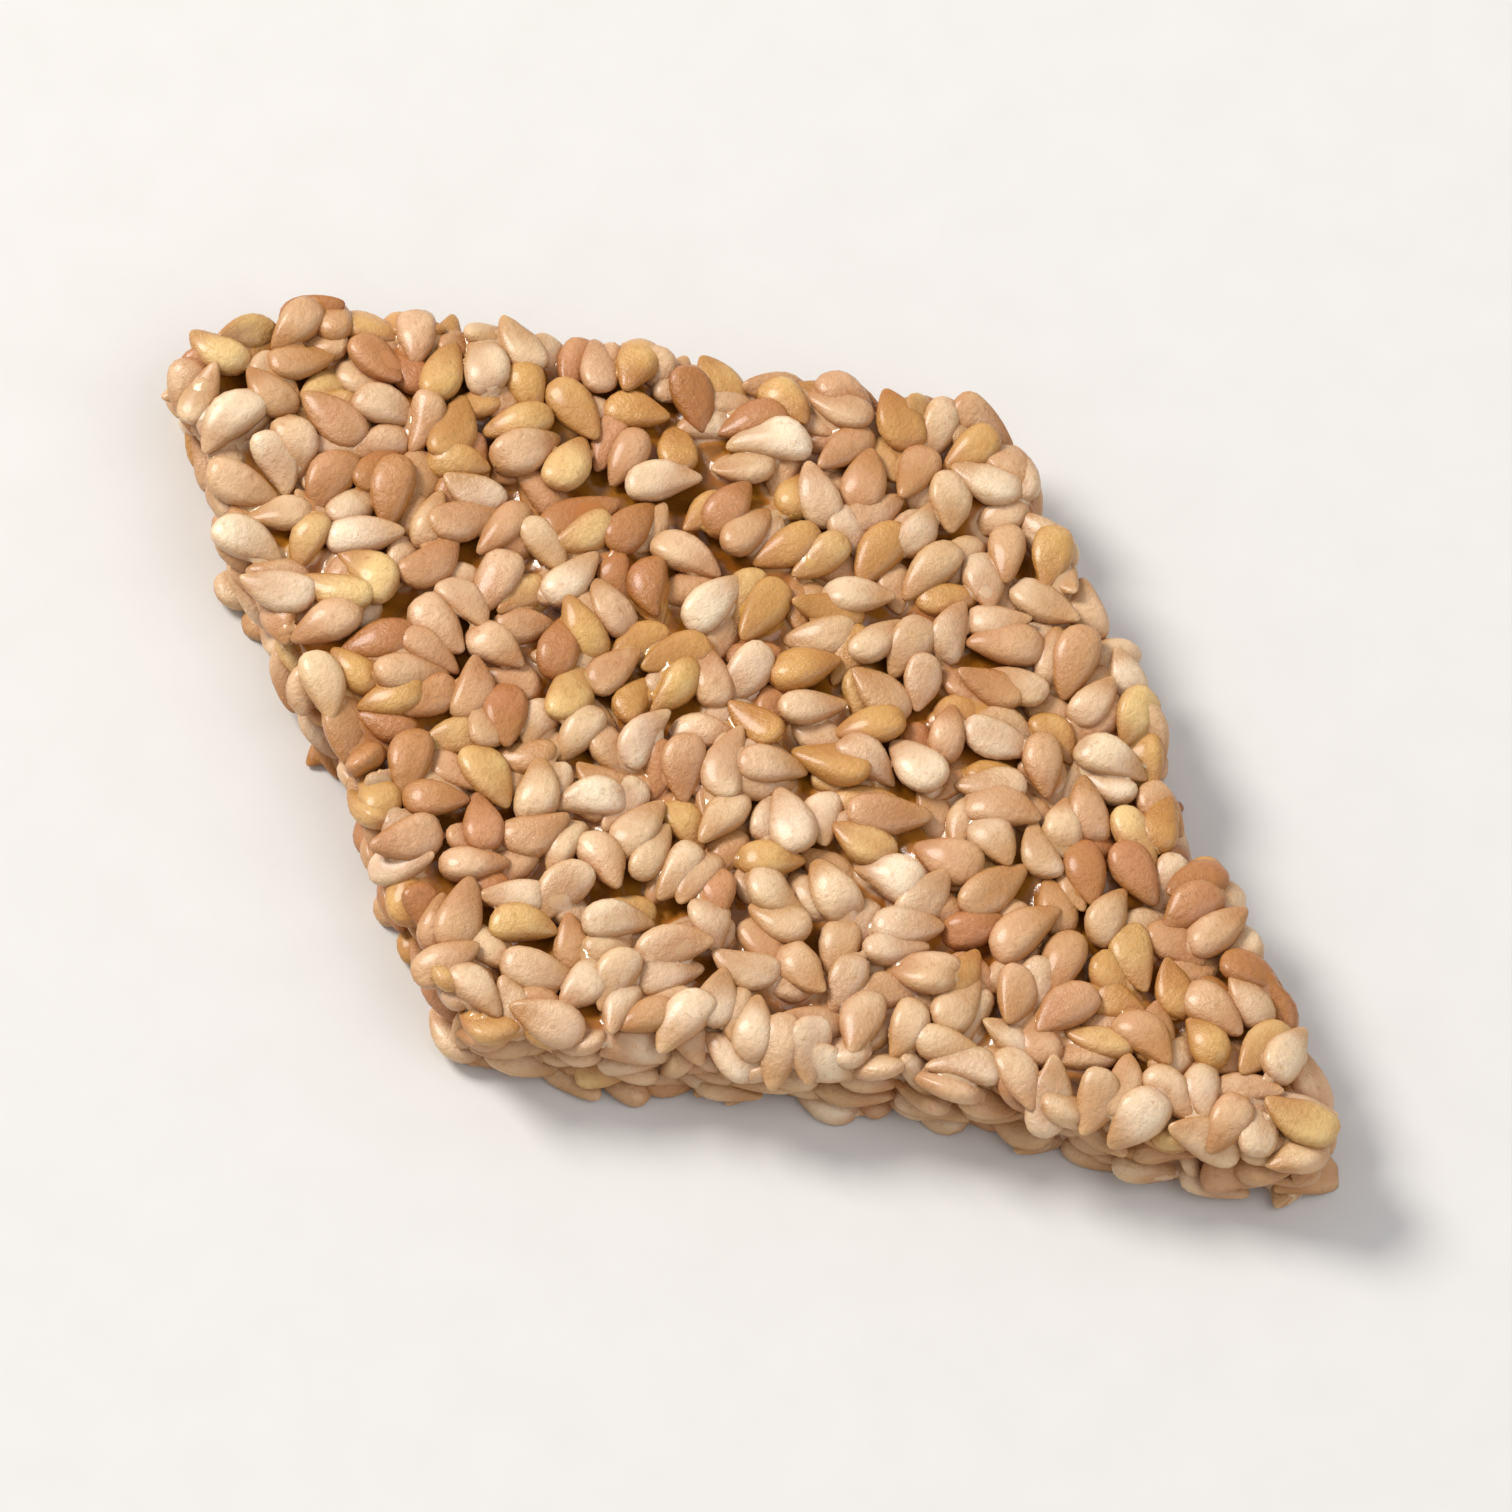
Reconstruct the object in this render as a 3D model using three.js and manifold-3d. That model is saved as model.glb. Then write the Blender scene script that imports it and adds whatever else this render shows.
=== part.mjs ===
// One slab of sesame brittle: toasted sesame seeds in set caramel, rolled flat and cut to a diamond.
// Millimetres, +Z up. The slab rests on its underside at Z = 0 with its long diagonal along X,
// and the origin is under the middle of its bounding box.
import * as THREE from "three";
import { mergeVertices } from "three/addons/utils/BufferGeometryUtils.js";
import Module from "manifold-3d";

// The diamond of caramel, without the seeds that stand out of it.
const EDGE = 39; // side of the diamond, before its corners are rounded or snapped off
const SHARP_ANGLE = 59; // degrees, at both ends of the long diagonal
const CARAMEL_HEIGHT = 4.25; // from the underside to the caramel between the top seeds
const SNAP_ABOVE = 8; // the -X corner is snapped off across: how far back along the side above it
const SNAP_BELOW = 4.4; // and along the side below it
const NORTH_SLIP = 1.5; // the four cuts aren't quite parallel: the +Y corner lies this far towards -X
const SOUTH_SLIP = 1.2; // along its side, and the -Y corner this far towards +X along its own
const RADII = { east: 2.3, north: 4, snapAbove: 1.7, snapBelow: 2, south: 1 }; // of the broken corners
const SIDE_STEP = 2.6; // length of the straight pieces along the cut sides
const CORNER_STEP = 1.3; // and round the corners
const BOTTOM_ROUNDING = 0.22; // how far the lower edge is worn in
const TOP_ROUNDING = 0.55; // how far the rolled top edge falls away
const SIDE_DRAFT = 0.06; // how much narrower the cut leaves the top

// Where the knife and the break left the sides fuller or hollower. side counts anticlockwise from
// the one that starts at the +X corner, at is the share of it, and reach is positive outwards.
const SWELLS = [
  { side: 0, at: 0.45, reach: -0.95, width: 2.2 },
  { side: 0, at: 0.66, reach: 0.5, width: 2.6 },
  { side: 1, at: 0.86, reach: -0.35, width: 1.8 },
  { side: 3, at: 0.34, reach: 0.6, width: 5 },
  { side: 4, at: 0.5, reach: -1, width: 9 },
];
const WANDER = { depth: 0.14, turns: 19 }; // the finer wander of the cut, round the whole outline

// A sesame seed: a flat drop with one pointed end, a ridge above and below, and an edge each side.
const SEED_LENGTH = 3.15;
const SEED_WIDTH = 1.85;
const SEED_THICKNESS = 1;
const SEED_PROFILE = [
  [0, -0.5],
  [0.5, -0.2],
  [0.37, 0.17],
  [0, 0.5],
]; // share of the width, then share of the length from the round end to the point
const SEED_SIDES = 4;
const SIZE_FALL = 0.16; // the last seed laid is smaller than the first by this share
const SIZE_SPREAD = 0.05;

// Spacing: each seed goes to whichever of a few random places is furthest from the seeds laid before.
const TRIALS = 26;
const SPACING_REACH = 0.95; // from a seed's middle to the outer two of its three spacing points
const PLACE_START = 71993; // where the random numbers for places and for poses begin
const POSE_START = 40127;

// Seeds on the rolled top.
const TOP_SEEDS = 226;
const TOP_MARGIN = 0.45; // from the outline to the middle of the outermost seeds
const TOP_SINK = { least: 0.07, more: 0.15 }; // how far a seed's middle lies below the caramel
const TOP_TILT = 11; // degrees, nose up or down and to either side
const RIM_WIDTH = 1.3; // seeds this close to the outline follow the rounded edge
const RIM_DROP = 0.4;
const RIM_LEAN = 24; // degrees outwards, at the outline itself

// Seeds in the cut sides.
const SIDE_SEEDS = 96;
const SIDE_BAND = { low: 0.75, high: 3.75 }; // heights of their middles
const SIDE_SINK = 0.4; // how far a seed's middle lies inside the cut, on average
const SIDE_SINK_SPREAD = 0.22;
const SIDE_SLOPE = 28; // degrees that a seed's long axis leaves the level
const SIDE_ROLL = 38; // degrees that its flat leaves the level
const SIDE_SWING = 22; // degrees that it turns out of the cut face

// Hollows between the seeds of the underside, which the rolling board pressed flat.
const PITS = 96;
const PIT_MARGIN = 1.9;
const PIT_RADIUS = 1; // at the underside, along the hollow
const PIT_DEPTH = 0.32;
const PIT_FLATTENING = 0.62; // width as a share of length
const PIT_SPREAD = 0.3;
const PIT_SIDES = 5;

const wasm = await Module();
wasm.setup();
const radians = THREE.MathUtils.degToRad;

// A repeatable stream of numbers from 0 to 1.
function randomStream(start) {
  let state = start;
  return () => {
    state = (state * 1664525 + 1013904223) % 4294967296;
    return state / 4294967296;
  };
}

// A number from middle - spread to middle + spread.
function around(random, middle, spread) {
  return middle + spread * (2 * random() - 1);
}

function solidFrom(geometry) {
  const bare = geometry.clone();
  bare.deleteAttribute("normal");
  bare.deleteAttribute("uv");
  const merged = mergeVertices(bare, 1e-5);
  return new wasm.Manifold(
    new wasm.Mesh({
      numProp: 3,
      vertProperties: merged.attributes.position.array,
      triVerts: new Uint32Array(merged.index.array),
    }),
  );
}

function geometryFrom(solid) {
  const mesh = solid.getMesh();
  const geometry = new THREE.BufferGeometry();
  geometry.setAttribute("position", new THREE.BufferAttribute(mesh.vertProperties, 3));
  geometry.setIndex(new THREE.BufferAttribute(mesh.triVerts, 1));
  return geometry;
}

// Adds solids in pairs, then pairs of pairs.
function joined(solids) {
  let row = solids;
  while (row.length > 1) {
    const next = [];
    for (let i = 0; i + 1 < row.length; i += 2) {
      next.push(row[i].add(row[i + 1]));
    }
    if (row.length % 2) {
      next.push(row[row.length - 1]);
    }
    row = next;
  }
  return row[0];
}

// The diamond's corners, anticlockwise from +X, with the one at -X snapped off.
function diamondCorners() {
  const half = radians(SHARP_ANGLE / 2);
  const east = new THREE.Vector2(EDGE * Math.cos(half), 0);
  const west = east.clone().negate();
  const north = new THREE.Vector2(0, EDGE * Math.sin(half));
  const south = north.clone().negate();
  north.lerp(west, NORTH_SLIP / EDGE);
  south.lerp(east, SOUTH_SLIP / EDGE);
  return [
    { at: east, radius: RADII.east },
    { at: north, radius: RADII.north },
    { at: west.clone().lerp(north, SNAP_ABOVE / EDGE), radius: RADII.snapAbove },
    { at: west.clone().lerp(south, SNAP_BELOW / EDGE), radius: RADII.snapBelow },
    { at: south, radius: RADII.south },
  ];
}

// One rounded corner, as points from the side before it to the side after it.
function cornerArc(before, corner, after) {
  const back = before.at.clone().sub(corner.at).normalize();
  const ahead = after.at.clone().sub(corner.at).normalize();
  const halfAngle = Math.acos(back.dot(ahead)) / 2;
  const bisector = back.clone().add(ahead).normalize();
  const centre = corner.at.clone().addScaledVector(bisector, corner.radius / Math.sin(halfAngle));
  const sweep = Math.PI - 2 * halfAngle;
  const first = bisector.clone().negate().angle() - sweep / 2;
  const pieces = Math.max(1, Math.round((corner.radius * sweep) / CORNER_STEP));
  const points = [];
  for (let k = 0; k <= pieces; k++) {
    const turn = first + (sweep * k) / pieces;
    const spoke = new THREE.Vector2(Math.cos(turn), Math.sin(turn));
    points.push(centre.clone().addScaledVector(spoke, corner.radius));
  }
  return points;
}

// The diamond with rounded corners and even sides.
function evenOutline(corners) {
  const arcs = corners.map((corner, i) =>
    cornerArc(corners.at(i - 1), corner, corners[(i + 1) % corners.length]),
  );
  return arcs.flatMap((arc, i) => {
    const start = arc.at(-1);
    const end = arcs[(i + 1) % arcs.length][0];
    const pieces = Math.max(1, Math.round(start.distanceTo(end) / SIDE_STEP));
    const between = [];
    for (let k = 1; k < pieces; k++) {
      between.push(start.clone().lerp(end, k / pieces));
    }
    return [...arc, ...between];
  });
}

// The outward normal at each point of an anticlockwise loop.
function outwardNormals(points) {
  return points.map((_, i) => {
    const along = points[(i + 1) % points.length].clone().sub(points.at(i - 1)).normalize();
    return new THREE.Vector2(along.y, -along.x);
  });
}

// The length of each side of a closed loop of points.
function sideLengths(points) {
  return points.map((point, i) => point.distanceTo(points[(i + 1) % points.length]));
}

// The outline that the knife and the break left.
function cutOutline() {
  const corners = diamondCorners();
  const even = evenOutline(corners);
  const normals = outwardNormals(even);
  const lengths = sideLengths(even);
  const round = lengths.reduce((sum, length) => sum + length, 0);
  const centres = SWELLS.map((swell) =>
    corners[swell.side].at.clone().lerp(corners[(swell.side + 1) % corners.length].at, swell.at),
  );
  let walked = 0;
  return even.map((point, i) => {
    let shift = WANDER.depth * Math.sin((2 * Math.PI * WANDER.turns * walked) / round);
    walked += lengths[i];
    SWELLS.forEach((swell, k) => {
      shift += swell.reach * Math.exp(-((point.distanceTo(centres[k]) / swell.width) ** 2));
    });
    return point.clone().addScaledVector(normals[i], shift);
  });
}

// The caramel as a stack of outlines: worn in below, cut straight, and rolled off at the top.
function caramelSolid(outline) {
  const normals = outwardNormals(outline);
  const levels = [
    { z: 0, inset: BOTTOM_ROUNDING },
    { z: BOTTOM_ROUNDING, inset: 0 },
    { z: CARAMEL_HEIGHT - TOP_ROUNDING, inset: SIDE_DRAFT },
    { z: CARAMEL_HEIGHT, inset: SIDE_DRAFT + TOP_ROUNDING },
  ];
  const rings = levels.map((level) =>
    outline.map((point, i) => point.clone().addScaledVector(normals[i], -level.inset)),
  );
  const positions = rings.flatMap((ring, level) => ring.flatMap((point) => [point.x, point.y, levels[level].z]));
  const count = outline.length;
  const indices = [];
  for (let level = 0; level + 1 < levels.length; level++) {
    for (let i = 0; i < count; i++) {
      const low = level * count + i;
      const lowNext = level * count + ((i + 1) % count);
      indices.push(low, lowNext, low + count);
      indices.push(lowNext, lowNext + count, low + count);
    }
  }
  const top = (levels.length - 1) * count;
  for (const [a, b, c] of THREE.ShapeUtils.triangulateShape(rings[0], [])) {
    indices.push(a, c, b);
  }
  for (const [a, b, c] of THREE.ShapeUtils.triangulateShape(rings.at(-1), [])) {
    indices.push(top + a, top + b, top + c);
  }
  const geometry = new THREE.BufferGeometry();
  geometry.setAttribute("position", new THREE.Float32BufferAttribute(positions, 3));
  geometry.setIndex(indices);
  return solidFrom(geometry);
}

// How far inside the outline a point is, and the outward direction of the side nearest to it.
function rimAt(outline, x, y) {
  let nearest = { inside: Infinity };
  outline.forEach((start, i) => {
    const side = outline[(i + 1) % outline.length].clone().sub(start);
    const length = side.length();
    side.divideScalar(length);
    const offset = new THREE.Vector2(x - start.x, y - start.y);
    const outward = new THREE.Vector2(side.y, -side.x);
    const sign = offset.dot(outward) > 0 ? -1 : 1;
    const reach = THREE.MathUtils.clamp(offset.dot(side), 0, length);
    const distance = offset.addScaledVector(side, -reach).length();
    if (distance < Math.abs(nearest.inside)) {
      nearest = { inside: sign * distance, outward };
    }
  });
  return nearest;
}

// Three points along a lying seed, from which its distance to others is measured.
function spacingPoints(trial) {
  return [-1, 0, 1].map((step) => [
    trial.u + step * SPACING_REACH * Math.cos(trial.heading),
    trial.v + step * SPACING_REACH * Math.sin(trial.heading),
  ]);
}

// Lays count seeds over a field. draw gives a trial place, or null for one outside the field.
// round is the field's length where it closes on itself, and otherwise Infinity.
function spreadOut(count, draw, round = Infinity) {
  const taken = [];
  const places = [];
  while (places.length < count) {
    let best = null;
    let widest = -1;
    for (let k = 0; k < TRIALS; k++) {
      const trial = draw();
      if (trial) {
        const points = spacingPoints(trial);
        let gap = 1e9;
        for (const [u, v] of points) {
          for (const [p, q] of taken) {
            const across = Math.abs(u - p);
            gap = Math.min(gap, Math.hypot(Math.min(across, round - across), v - q));
          }
        }
        if (gap > widest) {
          best = { ...trial, points };
          widest = gap;
        }
      }
    }
    if (best) {
      taken.push(...best.points);
      places.push(best);
    }
  }
  return places;
}

// Places spread over the face inside the outline, as far in as margin.
function spreadOverFace(outline, count, margin, random) {
  const box = new THREE.Box2().setFromPoints(outline);
  return spreadOut(count, () => {
    const u = THREE.MathUtils.lerp(box.min.x, box.max.x, random());
    const v = THREE.MathUtils.lerp(box.min.y, box.max.y, random());
    const heading = 2 * Math.PI * random();
    const rim = rimAt(outline, u, v);
    return rim.inside < margin ? null : { u, v, heading, rim };
  });
}

// The point is at +X, the edges are at +Y and -Y and the ridges at +Z and -Z, all of unit size.
function seedTemplate() {
  const profile = SEED_PROFILE.map(([radius, along]) => new THREE.Vector2(radius, along));
  return new THREE.LatheGeometry(profile, SEED_SIDES).rotateZ(-Math.PI / 2);
}

function seedSolid(template, size, turn, place) {
  const scale = new THREE.Vector3(SEED_LENGTH, SEED_WIDTH, SEED_THICKNESS).multiplyScalar(size);
  const matrix = new THREE.Matrix4().compose(place, turn, scale);
  return solidFrom(template.clone().applyMatrix4(matrix));
}

// A lying seed's turn: rolled about its own length, pitched nose down, then headed. In radians.
function seedTurn(heading, pitch, roll) {
  return new THREE.Quaternion().setFromEuler(new THREE.Euler(roll, pitch, heading, "ZYX"));
}

// The nth seed of a field: the largest are laid first.
function seedSize(random, n, count) {
  return around(random, 1 + SIZE_FALL * (0.5 - n / count), SIZE_SPREAD);
}

function topSeeds(outline, template) {
  const places = spreadOverFace(outline, TOP_SEEDS, TOP_MARGIN, randomStream(PLACE_START));
  const random = randomStream(POSE_START);
  return places.map((spot, n) => {
    const size = seedSize(random, n, TOP_SEEDS);
    const pitch = radians(around(random, 0, TOP_TILT));
    const roll = radians(around(random, 0, TOP_TILT));
    const sink = TOP_SINK.least + TOP_SINK.more * random();
    const rim = Math.max(0, 1 - spot.rim.inside / RIM_WIDTH);
    const leanAxis = new THREE.Vector3(-spot.rim.outward.y, spot.rim.outward.x, 0);
    const lean = new THREE.Quaternion().setFromAxisAngle(leanAxis, radians(RIM_LEAN) * rim);
    const turn = seedTurn(spot.heading, pitch, roll).premultiply(lean);
    const height = CARAMEL_HEIGHT - sink - RIM_DROP * rim ** 2;
    return seedSolid(template, size, turn, new THREE.Vector3(spot.u, spot.v, height));
  });
}

// Side seeds are laid over the unrolled cut: u runs round the outline, v is the height.
function sideSeeds(outline, template) {
  const lengths = sideLengths(outline);
  const round = lengths.reduce((sum, length) => sum + length, 0);
  const placeRandom = randomStream(PLACE_START + 1);
  const draw = () => {
    const u = round * placeRandom();
    const v = THREE.MathUtils.lerp(SIDE_BAND.low, SIDE_BAND.high, placeRandom());
    return { u, v, heading: radians(around(placeRandom, 0, SIDE_SLOPE)) };
  };
  const random = randomStream(POSE_START + 1);
  return spreadOut(SIDE_SEEDS, draw, round).map((spot, n) => {
    let along = spot.u;
    let piece = 0;
    while (along > lengths[piece]) {
      along -= lengths[piece];
      piece += 1;
    }
    const start = outline[piece];
    const ahead = outline[(piece + 1) % outline.length].clone().sub(start).normalize();
    const outward = new THREE.Vector2(ahead.y, -ahead.x);
    const size = seedSize(random, n, SIDE_SEEDS);
    const sink = around(random, SIDE_SINK, SIDE_SINK_SPREAD);
    const swing = radians(around(random, 0, SIDE_SWING));
    const roll = radians(around(random, 0, SIDE_ROLL));
    const facing = random() < 0.5 ? Math.PI : 0;
    const middle = start.clone().addScaledVector(ahead, along).addScaledVector(outward, -sink);
    const turn = seedTurn(ahead.angle() + facing + swing, spot.heading, roll);
    return seedSolid(template, size, turn, new THREE.Vector3(middle.x, middle.y, spot.v));
  });
}

// Cones that reach twice as far as the hollow is deep, so that half of each is below the underside.
function pitSolids(outline) {
  const places = spreadOverFace(outline, PITS, PIT_MARGIN, randomStream(PLACE_START + 2));
  const random = randomStream(POSE_START + 2);
  return places.map((spot) => {
    const radius = around(random, PIT_RADIUS, PIT_RADIUS * PIT_SPREAD);
    const cone = new THREE.ConeGeometry(2 * radius, 2 * PIT_DEPTH, PIT_SIDES);
    cone.rotateX(Math.PI / 2);
    cone.scale(1, PIT_FLATTENING, 1);
    cone.rotateZ(spot.heading);
    cone.translate(spot.u, spot.v, 0);
    return solidFrom(cone);
  });
}

function sesameSlab() {
  const outline = cutOutline();
  const template = seedTemplate();
  const pitted = caramelSolid(outline).subtract(joined(pitSolids(outline)));
  const whole = joined([...topSeeds(outline, template), ...sideSeeds(outline, template), pitted]);
  const geometry = geometryFrom(whole);
  geometry.computeBoundingBox();
  const middle = geometry.boundingBox.getCenter(new THREE.Vector3());
  geometry.translate(-middle.x, -middle.y, -geometry.boundingBox.min.z);
  const material = new THREE.MeshStandardMaterial({ color: 0xc2956e, roughness: 0.45, metalness: 0 });
  const mesh = new THREE.Mesh(geometry, material);
  mesh.name = "sesame_slab";
  return mesh;
}

const part = new THREE.Group();
part.add(sesameSlab());
export default part;
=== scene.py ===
"""One diamond-cut slab of sesame brittle, lying on a pale table.

The slab is real seeds in real caramel: every seed that can be seen is a drop-shaped mesh at true size,
with one piece for each roast, and the caramel is one skin drawn through a volume that holds the core and
all the seeds, so that it climbs the seeds and fills the crevices between them as set syrup does.
Sizes are in millimetres here and become metres when a mesh is made.
"""

import math

import bpy
import numpy as np
import openvdb
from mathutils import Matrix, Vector


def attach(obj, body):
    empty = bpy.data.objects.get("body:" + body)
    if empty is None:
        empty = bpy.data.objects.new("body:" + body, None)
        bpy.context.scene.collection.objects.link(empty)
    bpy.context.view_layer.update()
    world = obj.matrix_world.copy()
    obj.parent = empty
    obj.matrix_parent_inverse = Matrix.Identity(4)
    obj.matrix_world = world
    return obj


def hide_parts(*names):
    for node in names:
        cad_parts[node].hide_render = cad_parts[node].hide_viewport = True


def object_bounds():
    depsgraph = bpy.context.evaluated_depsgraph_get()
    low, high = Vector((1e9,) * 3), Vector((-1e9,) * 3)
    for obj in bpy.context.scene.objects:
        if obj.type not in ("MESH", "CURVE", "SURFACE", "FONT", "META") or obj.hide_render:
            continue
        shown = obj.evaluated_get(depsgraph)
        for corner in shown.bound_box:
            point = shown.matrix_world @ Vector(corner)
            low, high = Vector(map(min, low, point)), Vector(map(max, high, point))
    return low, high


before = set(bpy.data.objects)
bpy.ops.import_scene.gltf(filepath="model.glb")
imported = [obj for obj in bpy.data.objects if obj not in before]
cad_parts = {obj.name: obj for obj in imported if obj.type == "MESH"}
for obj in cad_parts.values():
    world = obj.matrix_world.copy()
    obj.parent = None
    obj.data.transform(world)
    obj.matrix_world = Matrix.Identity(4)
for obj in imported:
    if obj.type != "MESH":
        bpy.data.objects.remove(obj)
CAD_LOW, CAD_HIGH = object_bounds()

MM = 0.001  # metres in a millimetre

# The diamond of caramel, as the solid has it.
EDGE = 39.0  # side of the diamond, before its corners are rounded or snapped off
SHARP_ANGLE = 59.0  # degrees, at both ends of the long diagonal
CARAMEL_HEIGHT = 4.25  # from the underside to the caramel between the top seeds
SNAP_ABOVE = 8.0  # the -X corner is snapped off across: how far back along the side above it
SNAP_BELOW = 4.4  # and along the side below it
NORTH_SLIP = 1.5  # the cuts aren't quite parallel: the +Y corner lies this far towards -X along its side
SOUTH_SLIP = 1.2  # and the -Y corner this far towards +X along its own
RADII = {"east": 2.3, "north": 4.0, "snap_above": 1.7, "snap_below": 2.0, "south": 1.0}
SIDE_STEP = 2.6  # length of the straight pieces along the cut sides
CORNER_STEP = 1.3  # and round the corners
SWELLS = (  # side, anticlockwise from the +X corner, share along it, reach outwards, width
    (0, 0.45, -0.95, 2.2),
    (0, 0.66, 0.5, 2.6),
    (1, 0.86, -0.35, 1.8),
    (3, 0.34, 0.6, 5.0),
    (4, 0.5, -1.0, 9.0),
)
WANDER_DEPTH = 0.14  # the finer wander of the cut
WANDER_TURNS = 19  # round the whole outline

# A sesame seed, and how seeds are spread, as the solid has them.
SEED_SIZE = np.array((3.15, 1.85, 1.0))  # length, width, thickness
COARSE_PROFILE = ((0, -0.5), (0.5, -0.2), (0.37, 0.17), (0, 0.5))  # share of width, share of length
COARSE_SPOKES = ((0, 1), (1, 0), (0, -1), (-1, 0))
SIZE_FALL = 0.16  # the last seed laid is smaller than the first by this share
SIZE_SPREAD = 0.05
TRIALS = 26  # random places of which each seed takes one
SPACING_REACH = 0.95  # from a seed's middle to the outer two of its three spacing points
PLACE_START = 71993  # where the random numbers for places and for poses begin
POSE_START = 40127
TOP_SEEDS = 226
TOP_MARGIN = 0.45  # from the outline to the middle of the outermost seeds
TOP_SINK_LEAST = 0.07  # how far a seed's middle lies below the caramel
TOP_SINK_MORE = 0.15
TOP_TILT = 11.0  # degrees, nose up or down and to either side
RIM_WIDTH = 1.3  # seeds this close to the outline follow the rounded edge
RIM_DROP = 0.4
RIM_LEAN = 24.0  # degrees outwards, at the outline itself
SIDE_SEEDS = 96
SIDE_BAND = (0.75, 3.75)  # heights of their middles
SIDE_SINK = 0.4  # how far a seed's middle lies inside the cut, on average
SIDE_SINK_SPREAD = 0.22
SIDE_SLOPE = 28.0  # degrees that a seed's long axis leaves the level
SIDE_ROLL = 38.0  # degrees that its flat leaves the level
SIDE_SWING = 22.0  # degrees that it turns out of the cut face
PITS = 96  # hollows between the seeds of the underside
PIT_MARGIN = 1.9
PIT_RADIUS = 1.0  # at the underside, along the hollow
PIT_DEPTH = 0.32
PIT_FLATTENING = 0.62  # width as a share of length
PIT_SPREAD = 0.3

# Fillers, the seeds that only show between the first ones and on the underside.
UNDER_TOP_SEEDS = 360
UNDER_TOP_SINK = (0.22, 0.65)  # how much deeper they lie than the first ones, from first to last
UNDER_TOP_TILT = 14.0
UNDER_SIDE_SEEDS = 260
UNDER_SIDE_SINK = (0.25, 0.5)
UNDER_SIDE_SWING = 10.0
UNDER_SIDE_ROLL = 24.0
FLOOR_SEEDS = 250  # pressed flat against the board
FLOOR_MARGIN = 0.4
FLOOR_HEIGHT = 0.33  # of their middles, so that the board flattens most of their width
FLOOR_TILT = 7.0
SPINE = (-1.0, -0.5, 0.0, 0.5, 1.0)  # mm along a seed from its middle
CROSSING = 0.15  # mm, how deep a filler's spine may lie in a seed that is already there
SIDE_CROSSING = 0.22  # the same in the cut sides, where the knife pressed the seeds together
SIDE_WAYS = 6  # ways round that a filler may lie in the plane of the cut
STRAY = 0.2  # mm, how far one that is turned there may reach past the board or the roller


def random_stream(start):
    """The solid's own repeatable stream of numbers from 0 to 1."""
    state = start

    def draw():
        nonlocal state
        state = (state * 1664525 + 1013904223) % 4294967296
        return state / 4294967296

    return draw


def around(draw, middle, spread):
    return middle + spread * (2 * draw() - 1)


# ---------------------------------------------------------------- outline, as complex numbers x + iy


def diamond_corners():
    """Each corner of the diamond, anticlockwise from +X, with its radius. The one at -X is snapped off."""
    half = math.radians(SHARP_ANGLE / 2)
    east = complex(EDGE * math.cos(half), 0)
    north = complex(0, EDGE * math.sin(half))
    south = -north + (east + north) * SOUTH_SLIP / EDGE
    north = north - (east + north) * NORTH_SLIP / EDGE
    above = -east + (north + east) * SNAP_ABOVE / EDGE
    below = -east + (south + east) * SNAP_BELOW / EDGE
    names = ("east", "north", "snap_above", "snap_below", "south")
    return [(place, RADII[name]) for place, name in zip((east, north, above, below, south), names)]


def corner_arc(before, corner, after):
    place, radius = corner
    back = (before[0] - place) / abs(before[0] - place)
    ahead = (after[0] - place) / abs(after[0] - place)
    half_angle = math.acos((back * ahead.conjugate()).real) / 2
    bisector = (back + ahead) / abs(back + ahead)
    centre = place + bisector * radius / math.sin(half_angle)
    sweep = math.pi - 2 * half_angle
    pieces = max(1, round(radius * sweep / CORNER_STEP))
    turns = sweep * (np.arange(pieces + 1) / pieces - 0.5)
    return centre - bisector * np.exp(1j * turns) * radius


def even_outline(corners):
    count = len(corners)
    arcs = [corner_arc(corners[i - 1], corners[i], corners[(i + 1) % count]) for i in range(count)]
    points = []
    for i, arc in enumerate(arcs):
        start, end = arc[-1], arcs[(i + 1) % count][0]
        pieces = max(1, round(abs(end - start) / SIDE_STEP))
        points += [*arc, *(start + (end - start) * k / pieces for k in range(1, pieces))]
    return np.array(points)


def outward_normals(points):
    along = np.roll(points, -1) - np.roll(points, 1)
    return -1j * along / abs(along)


def cut_outline():
    """The outline that the knife and the break left."""
    corners = diamond_corners()
    even = even_outline(corners)
    lengths = abs(np.roll(even, -1) - even)
    walked = np.concatenate(([0], np.cumsum(lengths)[:-1]))
    shift = WANDER_DEPTH * np.sin(2 * np.pi * WANDER_TURNS * walked / lengths.sum())
    for side, at, reach, width in SWELLS:
        start, end = corners[side][0], corners[(side + 1) % len(corners)][0]
        centre = start + (end - start) * at
        shift = shift + reach * np.exp(-((abs(even - centre) / width) ** 2))
    return even + outward_normals(even) * shift


OUTLINE = cut_outline()
SIDES = np.roll(OUTLINE, -1) - OUTLINE
SIDE_LENGTHS = abs(SIDES)
ROUND = SIDE_LENGTHS.sum()


def rim_at(points):
    """How far inside the outline each point is, and the outward direction of the side nearest to it."""
    along = SIDES / SIDE_LENGTHS
    offset = (np.asarray(points)[..., None] - OUTLINE) * along.conjugate()
    reach = np.clip(offset.real, 0, SIDE_LENGTHS)
    distance = abs(offset - reach)
    nearest = distance.argmin(-1)[..., None]
    sign = np.where(np.take_along_axis(offset.imag, nearest, -1) < 0, -1, 1)
    inside = sign * np.take_along_axis(distance, nearest, -1)
    return inside[..., 0], (-1j * along)[nearest[..., 0]]


# ---------------------------------------------------------------- where the seeds lie


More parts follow.
